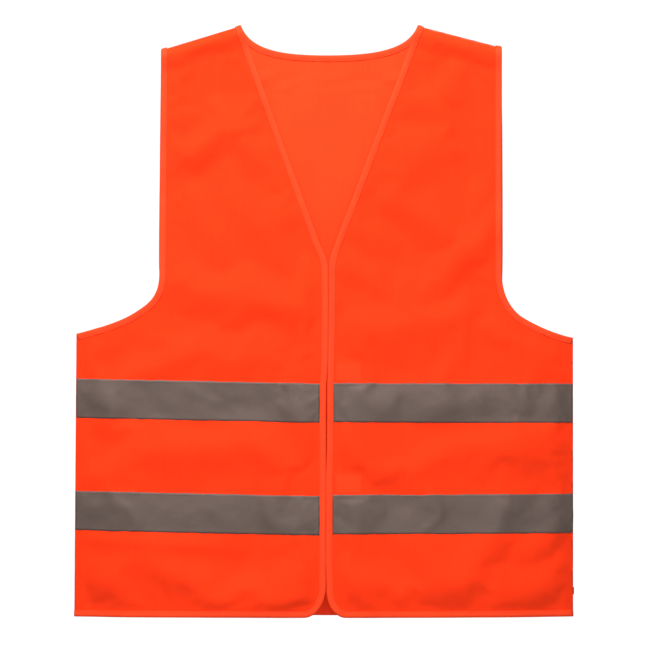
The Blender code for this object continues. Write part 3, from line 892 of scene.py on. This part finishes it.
def beaded(name, colour):
    """Glass-bead tape: a dull metallic grey with a fine grain and cloudy patches of lighter and darker
    tone.
    """
    made, shader, add, links = new_material(name, colour, 0.6, metallic=0.2, shine=0.25)
    where = add("TexCoord").outputs["Object"]
    grain = add("TexVoronoi", {"Vector": where}, Scale=2600.0)
    clouds = add("TexNoise", {"Vector": where}, Scale=38.0, Detail=5.0)
    speckle = add("TexNoise", {"Vector": where}, Scale=900.0, Detail=2.0)
    clouded_tone = add("Math", {0: clouds.outputs["Fac"], 1: speckle.outputs["Fac"]}, operation="ADD")
    mask = stretched(add, clouded_tone.outputs["Value"], From_Min=0.65, From_Max=1.35)
    tinted(add, links, shader, colour, mask, 0.10)
    rough = stretched(add, clouds.outputs["Fac"], To_Min=0.52, To_Max=0.70)
    links.new(rough, shader.inputs["Roughness"])
    raised(add, links, shader, grain.outputs["Distance"], 0.3, 0.0001)
    return made


TAPE_CLOTH = beaded("glass_bead_tape", TAPE_GREY_WITH_PAINTED_REFLECTION)
GREY_THREAD = thread("grey_thread", (0.16, 0.12, 0.10))


def side_edge(side, down):
    """How far the side seam is from the middle at this height, less a little room."""
    top, bottom = side["underarm"], (side["hem"], -LENGTH)
    share = (-down - top[1]) / (bottom[1] - top[1])
    return top[0] + (bottom[0] - top[0]) * share - SIDE_ROOM


def tape_top(side, level, x):
    """The (x, z) of a tape's top border on one side, at a distance x from the middle."""
    at_middle, at_seam = side[f"{level}_tape"]
    share = x / side_edge(side, at_seam)
    return Vector((side["sign"] * x, -at_middle - (at_seam - at_middle) * share))


def facet(x, z, seed):
    """The stiff tape's soft creases, which run at a slant, from -1 to 1."""
    slant = noise.noise(Vector(((x + 0.7 * z) / 0.045, (z - 0.3 * x) / 0.060, seed)))
    small = noise.noise(Vector(((x - 0.8 * z) / 0.020, (z + 0.2 * x) / 0.034, seed + 4.0)))
    return 1.5 * (0.5 - abs(slant)) + 0.4 * (0.4 - abs(small))


def sew_tape(name, surface, outwards, start, end, seed):
    """A tape between the (x, z) of the two ends of its top border, with its two rows of stitches."""
    down = Vector((0.0, -TAPE_WIDTH))
    along, across = round((end - start).length / TAPE_STEP), round(TAPE_WIDTH / TAPE_STEP)

    def place(i, j):
        share = j / across
        point = start.lerp(end, i / along) + down * share
        within = (share - FLAT_BORDER) / (1 - 2 * FLAT_BORDER)
        free = math.sin(math.pi * min(max(within, 0.0), 1.0))
        border = eased(1 - min(share, 1 - share) / 0.05)
        point.y += BORDER_WAVE * border * ripple(point.x, point.y, 0.012, seed + 9)
        spot, normal = surface(*point)
        crease = max(LEAST_CREASE, facet(*point, seed))
        return spot + normal * (TAPE_LIFT + TAPE_CREASE * free * crease)

    shape = formed_grid(along, across, place, (TAPE_STEP, TAPE_STEP))
    face_towards(shape, Vector((0.0, outwards, 0.0)))
    tape = piece(name, shape, TAPE_CLOTH)
    thicken(tape, TAPE_WALL)

    found = []
    for share in (TAPE_STITCHES / TAPE_WIDTH, 1 - TAPE_STITCHES / TAPE_WIDTH):
        line = walk([start + down * share, end + down * share], STITCH_PITCH)[1:-1]
        found += stitch_places(surface, line, TAPE_LIFT + TAPE_STITCH_RISE, INSIDE_STITCH_DROP)
    row = stitches(f"{name}_stitches", found, GREY_THREAD)
    return tape, row


for number, level in enumerate(("upper", "lower")):
    for name, side in SIDES.items():
        at_middle, at_seam = side[f"{level}_tape"]
        inner = edge_at(side, at_middle + TAPE_WIDTH / 2) + BINDING_WIDTH + TAPE_GAP
        ends = tape_top(side, level, inner), tape_top(side, level, side_edge(side, at_seam))
        tape, row = sew_tape(
            f"{name}_{level}_tape", front_surfaces[name], -1, *ends, seed=side["sign"] * 2.5 + number,
        )
        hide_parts(f"{name}_{level}_front_tape", f"{name}_{level}_side_tape")
        for made in (tape, row):
            bends(made)
    ends = [tape_top(side, level, side_edge(side, side[f"{level}_tape"][1])) for side in SIDES.values()]
    tape, row = sew_tape(f"back_{level}_band", back_surface, 1, *ends, seed=7.5 + number)
    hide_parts(f"back_{level}_tape")
    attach(tape, "vest_body")
    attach(row, "vest_body")

# The seam allowances. At each shoulder and side the two cloths are turned in together and
# overlocked, so a soft strip with slanting loops of thread lies inside the vest.

ALLOWANCE = 0.007
ALLOWANCE_WALL = 0.0009
ALLOWANCE_STEP = 0.004
LOOP_PITCH = 0.0026  # from one loop of the overlocking to the next
LOOP_LIFT = 0.0001  # how far the overlocking stands off the strip
LOOP_LEAN = 0.6  # how much the loops slant along the strip
LOOP_LINE = 0.0054  # from the seam in to the overlocking
EDGE_WANDER = (0.0004, 0.0002)  # how far the strip's free border wanders, in the cloth and out of it
SHOULDER_ROOM, UNDERARM_ROOM, LABEL_ROOM = 0.001, 0.002, 0.0003  # from a strip's end to the next piece
LABEL_TOP = 0.7180  # below the neck points


def lay_allowance(name, start, end, inwards):
    """A turned-in strip beside the line from start to end, with its overlocked border."""
    along, across = max(2, round((end - start).length / ALLOWANCE_STEP)), 4
    direction = (end - start).normalized()

    def place(i, j):
        share = j / across
        reach = ALLOWANCE * share
        reach += EDGE_WANDER[0] * share * ripple(i * ALLOWANCE_STEP, start.y, 0.02, 6.0)
        spot = start.lerp(end, i / along) + inwards * reach
        return Vector((spot.x, EDGE_WANDER[1] * share * ripple(spot.x, spot.y, 0.015, 8.0), spot.y))

    shape = formed_grid(along, across, place, (ALLOWANCE_STEP, ALLOWANCE / across))
    strip = piece(name, shape, OUTER_KNIT)
    thicken(strip, ALLOWANCE_WALL)
    lift = ALLOWANCE_WALL / 2 + LOOP_LIFT
    loops = []
    for number in range(1, round((end - start).length / LOOP_PITCH)):
        spot = start + direction * number * LOOP_PITCH + inwards * LOOP_LINE
        for out in (-1, 1):
            turned = (inwards - direction * LOOP_LEAN * out).normalized()
            middle = Vector((spot.x, out * lift, spot.y))
            loops.append((middle, Vector((turned.x, 0.0, turned.y)), Vector((0.0, out, 0.0))))
    row = stitches(f"{name}_overlocking", loops, ORANGE_THREAD_PAINTED_SHADE)
    for made in (strip, row):
        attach(made, "vest_body")
    return strip


for name, side in SIDES.items():
    sign = side["sign"]
    neck, tip = Vector((sign * side["neck"], 0.0)), Vector((sign * side["tip"][0], side["tip"][1]))
    room = (tip - neck).normalized() * (BINDING_WIDTH + SHOULDER_ROOM)
    strip = lay_allowance(f"{name}_shoulder_allowance", neck + room, tip - room, Vector((0.0, -1.0)))
    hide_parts(f"{name}_shoulder_seam")

    top = side["underarm"][1] - BINDING_WIDTH - UNDERARM_ROOM
    bottom = -LENGTH + BINDING_WIDTH + UNDERARM_ROOM
    if name == "left":
        bottom = -LABEL_TOP + LABEL_ROOM
    ends = [Vector((sign * side_edge(side, -height), height)) for height in (top, bottom)]
    strip = lay_allowance(f"{name}_side_allowance", *ends, Vector((-sign, 0.0)))
    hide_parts(f"{name}_side_seam")

# The closures. Inside the right front a short tab of binding webbing is sewn down, turned over and
# faced with hooks. Inside the left front a patch of loop pile takes it. There are two pairs, one
# just above each band of tape.

TAB_START, TAB_TURN, TAB_END = -0.0297, -0.0024, -0.0372  # along X: base, turn-over and free end
TAB_LEVELS = (0.0005, 0.0020)  # in from the front's slope, without its folds: base and tab
TAB_HEIGHT = 0.025
TAB_WALL = 0.0009
TAB_WAVE = 0.00012  # how far the webbing waves, away from its turn
BOX_MARGIN = 0.0016  # from a patch's or a base's border in to its stitches
CLOSURE_STITCH_LIFT = 0.00042  # from the middle of the cloth out to the middle of a stitch
BACKING_WALL = 0.00035
BACKING_DROP = (0.00068, 0.00006)  # from the front's middle in to the patch's, and its unevenness
PILE_PITCH = 0.0011
PILE_DROP = 0.00092  # from the front's middle in to the middle of a loop
PILE_LOOP = (0.0011, 0.00035, 0.0005)
HOOK_FIELD = (0.0215, 0.0225)
HOOK_PITCH = 0.0015
HOOK_PAD_WALL = 0.0003
HOOK_STEM = dict(radius1=0.00014, radius2=0.00009, depth=0.0006)
HOOK_RISES = (0.00072, 0.00102)  # over the tab: the middles of a hook's stem and of its head
HOOK_HEAD = (0.00022, 0.00012)  # its radius, and how far it leans to one side
HEAD_SHAPE = (1.5, 0.6, 1.0, 1.0)
TAB_STEPS = (12, 8, 14, 10)  # of the strip: along its base, round its turn, to its free end, and up
TAB_CELL = (0.0023, 0.0025)
SLOPE_REACH = 0.005  # how far to either side the front's slope is taken
TURN_ROOM = 0.0002  # how much of the turn, next to the base and to the tab, doesn't bend


def fuzzy(name, colour, roughness, sheen, grain):
    """Pile or nylon: one colour with a fine grain and a little unevenness."""
    made, shader, add, links = new_material(name, colour, roughness, sheen=sheen, shine=0.2)
    where = add("TexCoord").outputs["Object"]
    clouds = add("TexNoise", {"Vector": where}, Scale=200.0, Detail=5.0)
    fibres = add("TexNoise", {"Vector": where}, Scale=grain, Detail=3.0)
    tinted(add, links, shader, colour, clouds.outputs["Fac"], 0.18)
    raised(add, links, shader, fibres.outputs["Fac"], 0.5, 0.0002)
    return made


LOOP_PILE = fuzzy("loop_pile", (1.0, 0.120, 0.035), 0.95, 0.1, 1800.0)
HOOK_NYLON = fuzzy("hook_nylon", (0.95, 0.130, 0.040), 0.45, 0.0, 900.0)
WEBBING = woven("tab_webbing", ORANGE_TRIM, 0.0009)


def sew_box(name, surface, low, high, body):
    """The box of stitches that holds a closure down, as it shows on the outside of the front."""
    margin = Vector((BOX_MARGIN, BOX_MARGIN))
    low, high = Vector(low) + margin, Vector(high) - margin
    corners = [low, Vector((high.x, low.y)), high, Vector((low.x, high.y)), low]
    stations = [spot for a, b in zip(corners, corners[1:]) for spot in walk([a, b], STITCH_PITCH)[:-1]]
    places = stitch_places(surface, stations, CLOSURE_STITCH_LIFT, CLOSURE_STITCH_LIFT)
    row = stitches(name, places[::2], ORANGE_THREAD_PAINTED_SHADE)
    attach(row, body)


def sew_patch(level):
    """The loop patch inside the left front, its pile, and its stitches, which show outside."""
    surface = front_surfaces["left"]
    low, high = (Vector(corner) for corner in patch_box(level))
    across, up = round(PATCH[0] / PILE_PITCH), round(PATCH[1] / PILE_PITCH)

    def over_patch(i, j):
        """The front over one crossing of the rows of loops, and the way that it faces."""
        return surface(low.x + PATCH[0] * i / across, low.y + PATCH[1] * j / up)

    def place(i, j):
        spot, normal = over_patch(i, j)
        return spot - normal * (BACKING_DROP[0] + BACKING_DROP[1] * ripple(i, j, 1.7, 3.0))

    shape = formed_grid(across, up, place, (PILE_PITCH, PILE_PITCH))
    backing = piece(f"{level}_loop_backing", shape, LOOP_PILE)
    thicken(backing, BACKING_WALL)
    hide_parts(f"{level}_loop_patch")
    loops = []
    for i in range(1, across):
        for j in range(1, up):
            spot, normal = over_patch(i, j)
            turn = math.pi * ripple(i, j, 1.3, 5.0)
            lean = Vector((math.cos(turn), 0.35 * math.sin(3 * turn), math.sin(turn))).normalized()
            loops.append((spot - normal * PILE_DROP, lean, square_to(lean, -normal)))
    pile = stitches(f"{level}_loop_pile", loops, LOOP_PILE, PILE_LOOP)
    for made in (backing, pile):
        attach(made, "left_front")
    sew_box(f"{level}_loop_stitches", surface, low, high, "left_front")


def sew_tab(level):
    """The tab inside the right front, in one strip from its sewn base round to its free end."""
    low, high = patch_box(level)
    base_level, tab_level = TAB_LEVELS
    on_base, round_turn, on_tab, up = TAB_STEPS
    radius = (tab_level - base_level) / 2
    route = [(TAB_START + (TAB_TURN - TAB_START) * step / on_base, base_level) for step in range(on_base)]
    for step in range(round_turn + 1):
        turn = math.pi * (step / round_turn - 0.5)
        route.append((TAB_TURN + radius * math.cos(turn), base_level + radius + radius * math.sin(turn)))
    route += [(TAB_TURN + (TAB_END - TAB_TURN) * step / on_tab, tab_level) for step in range(1, on_tab + 1)]

    def place(i, j):
        x, level_here = route[i]
        z = low[1] + TAB_HEIGHT * j / up
        free = min(1.0, abs(x - TAB_TURN) / 0.02)
        level_here += TAB_WAVE * free * ripple(x, z, 0.012, level_here * 4000)
        return Vector((x, level_here - depth(x, z, front=True), z))

    tab = piece(f"{level}_tab_strip", formed_grid(len(route) - 1, up, place, TAB_CELL), WEBBING)
    thicken(tab, TAB_WALL)
    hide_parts(f"{level}_tab_base", f"{level}_hook_tab")

    x, z = (TAB_START + TAB_TURN) / 2, low[1] + TAB_HEIGHT / 2
    across_slope = depth(x + SLOPE_REACH, z, front=True) - depth(x - SLOPE_REACH, z, front=True)
    up_slope = depth(x, z + SLOPE_REACH, front=True) - depth(x, z - SLOPE_REACH, front=True)
    start = Vector((x, base_level + TURN_ROOM - depth(x, z, front=True), z))
    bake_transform(tab)

    border = (TAB_HEIGHT - HOOK_FIELD[1]) / 2
    across, tall = (round(size / HOOK_PITCH) for size in HOOK_FIELD)

    def over_tab(i, j, rise):
        """A place above the hooked face of the tab, over one crossing of its rows of hooks."""
        x = TAB_END + border + HOOK_FIELD[0] * i / across
        z = low[1] + border + HOOK_FIELD[1] * j / tall
        return Vector((x, tab_level + TAB_WALL / 2 + rise - depth(x, z, front=True), z))

    shape = formed_grid(
        across, tall, lambda i, j: over_tab(i, j, HOOK_PAD_WALL), (HOOK_PITCH, HOOK_PITCH),
    )
    pad = piece(f"{level}_hook_backing", shape, HOOK_NYLON)
    thicken(pad, HOOK_PAD_WALL)
    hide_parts(f"{level}_hook_pad")

    shape = bmesh.new()
    stand_up = Matrix.Rotation(-math.pi / 2, 4, "X")
    for i in range(1, across):
        for j in range(1, tall):
            stem, head = (over_tab(i, j, rise) for rise in HOOK_RISES)
            bmesh.ops.create_cone(
                shape, cap_ends=True, segments=5, matrix=Matrix.Translation(stem) @ stand_up, **HOOK_STEM,
            )
            head.x += HOOK_HEAD[1] if (i + j) % 2 else -HOOK_HEAD[1]
            bmesh.ops.create_icosphere(
                shape, subdivisions=1, radius=HOOK_HEAD[0],
                matrix=Matrix.Translation(head) @ Matrix.Diagonal(HEAD_SHAPE),
            )
    hooks = piece(f"{level}_hooks", shape, HOOK_NYLON)
    for made in (pad, hooks):
        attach(made, f"{level}_tab")
    sew_box(
        f"{level}_tab_stitches", front_surfaces["right"], (TAB_START, low[1]),
        (TAB_TURN - BINDING_WIDTH, high[1]), "right_front",
    )


for level in ("upper", "lower"):
    sew_patch(level)
    sew_tab(level)

# The label. A narrow satin ribbon, blank, folded in two and caught in the left side seam near the
# hem, so that only its folded end shows past the seam.

LABEL = (0.0120, 0.0092)  # from the seam's inside to the fold, and up
LABEL_SHOWS = 0.0012
LABEL_WALL = 0.00014
LABEL_GAP = 0.00016  # from the middle of the label to each of its two plies
LABEL_STEPS = 6  # along each ply, round the fold and up

SATIN = woven("dark_satin", (0.020, 0.018, 0.020), 0.0003, roughness=0.4)
fold_x = left["hem"] + LABEL_SHOWS - LABEL_WALL
ribbon = [(fold_x - LABEL[0] * (1 - step / LABEL_STEPS), -LABEL_GAP) for step in range(LABEL_STEPS)]
for step in range(LABEL_STEPS + 1):
    turn = math.pi * step / LABEL_STEPS
    ribbon.append((fold_x - LABEL_GAP + LABEL_GAP * math.sin(turn), -LABEL_GAP * math.cos(turn)))
ribbon += [(x, -y) for x, y in ribbon[LABEL_STEPS - 1 :: -1]]
shape = formed_grid(
    len(ribbon) - 1, LABEL_STEPS,
    lambda i, j: Vector((*ribbon[i], -LABEL_TOP - LABEL[1] * j / LABEL_STEPS)),
    (LABEL[0] / LABEL_STEPS, LABEL[1] / LABEL_STEPS),
)
label = piece("blank_label", shape, SATIN)
thicken(label, LABEL_WALL)
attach(label, "vest_body")
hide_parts("seam_label")

# The panels as they were cut. Each is one flat sheet of knit, up to the edge of its binding, with the
# bindings, tapes and stitches that are sewn to it. Here only the bindings and tapes on each panel are
# listed and its cloth is looked up; nothing more is made of them.

SEWN_ON = {
    name: [f"{name}_front_edge_binding", f"{name}_upper_tape", f"{name}_lower_tape"] for name in SIDES
}
SEWN_ON["back"] = ["back_neck_strip", "back_hem_strip", "back_upper_band", "back_lower_band"]
for name, sewn_on in SEWN_ON.items():
    cloth = back_cloth if name == "back" else bpy.data.objects[f"{name}_front_cloth"]

# The studio: a pale floor under the vest, a white surround a long way off, and the camera square on
# to the front. A soft light stands above the camera, with a weaker fill and one behind the vest.

CAMERA_LENS = 300.0
SENSOR = 36.0
VIEW_WIDTH = 0.832
VIEW_MIDDLE = (-0.0032, -0.3827)
FLOOR_DROP = 0.50
FLOOR_RADIUS, SURROUND_RADIUS = 4.0, 25.0
FLOOR_LIGHT, SURROUND_LIGHT, WORLD_LIGHT = 0.75, 1.05, 0.22
AIMED_AT = Vector((0.0, 0.0, -0.4))

camera = bpy.data.objects.new("camera", bpy.data.cameras.new("camera"))
bpy.context.scene.collection.objects.link(camera)
camera.data.lens, camera.data.sensor_width = CAMERA_LENS, SENSOR
distance = VIEW_WIDTH * CAMERA_LENS / SENSOR
camera.location = (VIEW_MIDDLE[0], -distance, VIEW_MIDDLE[1])
camera.rotation_euler = (math.pi / 2, 0.0, 0.0)
camera.data.clip_end = 60.0
bpy.context.scene.camera = camera

shape = bmesh.new()
bmesh.ops.create_cone(
    shape, cap_ends=True, segments=96, radius1=FLOOR_RADIUS, radius2=FLOOR_RADIUS, depth=0.01,
)
bmesh.ops.translate(shape, verts=shape.verts, vec=(0.0, 0.0, cad_low.z - FLOOR_DROP))
floor_paint, floor_shader, *_ = new_material("pale_floor", (0.35, 0.35, 0.35), 0.8)
floor_shader.inputs["Emission Color"].default_value = (1.0, 1.0, 1.0, 1.0)
floor_shader.inputs["Emission Strength"].default_value = FLOOR_LIGHT
floor = piece("floor", shape, floor_paint)
floor.visible_diffuse = False

shape = bmesh.new()
bmesh.ops.create_icosphere(shape, subdivisions=4, radius=SURROUND_RADIUS)
bmesh.ops.reverse_faces(shape, faces=shape.faces)
white = bpy.data.materials.new("white_surround")
white.use_nodes = True
white.node_tree.nodes.clear()
glow = white.node_tree.nodes.new("ShaderNodeEmission")
glow.inputs["Strength"].default_value = SURROUND_LIGHT
output = white.node_tree.nodes.new("ShaderNodeOutputMaterial")
white.node_tree.links.new(glow.outputs["Emission"], output.inputs["Surface"])
surround = piece("surround", shape, white)
surround.visible_diffuse = surround.visible_glossy = surround.visible_shadow = False
surround.visible_transmission = False

world = bpy.data.worlds.new("studio")
bpy.context.scene.world = world
world.use_nodes = True
background = world.node_tree.nodes["Background"]
background.inputs["Color"].default_value = (1.0, 1.0, 1.0, 1.0)
background.inputs["Strength"].default_value = WORLD_LIGHT

for name, energy, size, place in (
    ("key", 80.0, 0.8, (-0.4, -1.3, 1.5)),
    ("fill", 22.0, 0.8, (0.1, -3.0, -0.6)),
    ("behind", 110.0, 1.2, (0.9, 1.8, 1.5)),
):
    lamp = bpy.data.lights.new(name, "AREA")
    lamp.energy, lamp.size = energy, size
    made = bpy.data.objects.new(name, lamp)
    bpy.context.scene.collection.objects.link(made)
    made.location = place
    made.rotation_euler = (AIMED_AT - Vector(place)).to_track_quat("-Z", "Y").to_euler()

bpy.context.scene.view_settings.view_transform = "Standard"
